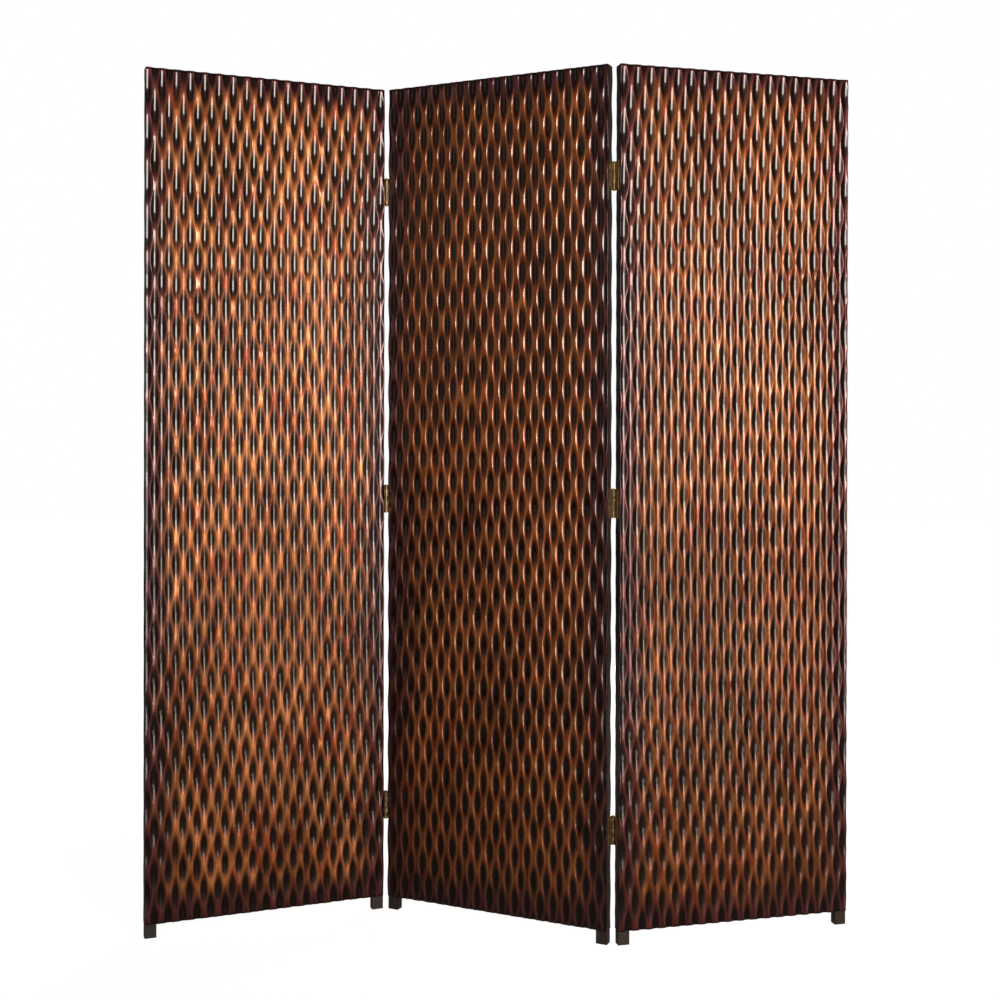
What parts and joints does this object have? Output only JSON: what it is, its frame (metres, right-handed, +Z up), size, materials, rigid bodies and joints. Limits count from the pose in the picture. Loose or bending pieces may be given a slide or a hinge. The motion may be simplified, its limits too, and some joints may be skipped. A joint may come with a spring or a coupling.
{
  "type": "folding room divider screen",
  "caption": "Free-standing folding room divider: carved wavy-relief boards on slim dark wooden frames with short legs, joined in a zigzag by butt hinges.",
  "frame": {"origin": "on the floor, under the middle of the opened screen's bounding box", "axes": "+Z up; -Y towards the side the screen is looked at from; +X to the right, along the row of panels"},
  "size_m": [1.4814, 0.246, 1.8],
  "materials": {
    "carved_board": "carved relief under high-gloss lacquer, amber on the crests, near-black in the hollows and round the edges",
    "frame_wood": "dark brown stained hardwood, semi-gloss lacquer",
    "dowel_wood": "plain beech, hidden in the frame joints",
    "hinge_metal": "antique bronze, dark in the recesses",
    "screw_metal": "antique bronze, slotted countersunk heads"
  },
  "bodies": {
    "centre_panel": {"centre_left_stile": "frame_wood", "centre_right_stile": "frame_wood", "centre_top_rail": "frame_wood", "centre_bottom_rail": "frame_wood", "centre_lower_cross_rail": "frame_wood", "centre_upper_cross_rail": "frame_wood", "centre_dowels": "dowel_wood", "centre_front_board": "carved_board", "centre_back_board": "carved_board", "left_seam_low_centre_leaf": "hinge_metal", "left_seam_mid_centre_leaf": "hinge_metal", "left_seam_top_centre_leaf": "hinge_metal", "left_seam_low_pin": "hinge_metal", "left_seam_mid_pin": "hinge_metal", "left_seam_top_pin": "hinge_metal", "right_seam_low_centre_leaf": "hinge_metal", "right_seam_mid_centre_leaf": "hinge_metal", "right_seam_top_centre_leaf": "hinge_metal", "right_seam_low_pin": "hinge_metal", "right_seam_mid_pin": "hinge_metal", "right_seam_top_pin": "hinge_metal", "left_seam_centre_screws": "screw_metal", "right_seam_centre_screws": "screw_metal"},
    "left_panel": {"left_outer_stile": "frame_wood", "left_hinge_stile": "frame_wood", "left_top_rail": "frame_wood", "left_bottom_rail": "frame_wood", "left_lower_cross_rail": "frame_wood", "left_upper_cross_rail": "frame_wood", "left_dowels": "dowel_wood", "left_front_board": "carved_board", "left_back_board": "carved_board", "left_seam_low_outer_leaf": "hinge_metal", "left_seam_mid_outer_leaf": "hinge_metal", "left_seam_top_outer_leaf": "hinge_metal", "left_seam_outer_screws": "screw_metal"},
    "right_panel": {"right_hinge_stile": "frame_wood", "right_outer_stile": "frame_wood", "right_top_rail": "frame_wood", "right_bottom_rail": "frame_wood", "right_lower_cross_rail": "frame_wood", "right_upper_cross_rail": "frame_wood", "right_dowels": "dowel_wood", "right_front_board": "carved_board", "right_back_board": "carved_board", "right_seam_low_outer_leaf": "hinge_metal", "right_seam_mid_outer_leaf": "hinge_metal", "right_seam_top_outer_leaf": "hinge_metal", "right_seam_outer_screws": "screw_metal"}
  },
  "joints": [
    {"name": "left_panel_fold", "type": "hinge", "parent": "centre_panel", "child": "left_panel", "pos_m": [-0.2499, 0.09595, 0], "axis": [0, 0, 1], "range_deg": [-56.5, 133.5]},
    {"name": "right_panel_fold", "type": "hinge", "parent": "centre_panel", "child": "right_panel", "pos_m": [0.234, -0.09439, 0], "axis": [0, 0, 1], "range_deg": [-49.5, 140.5]}
  ]
}
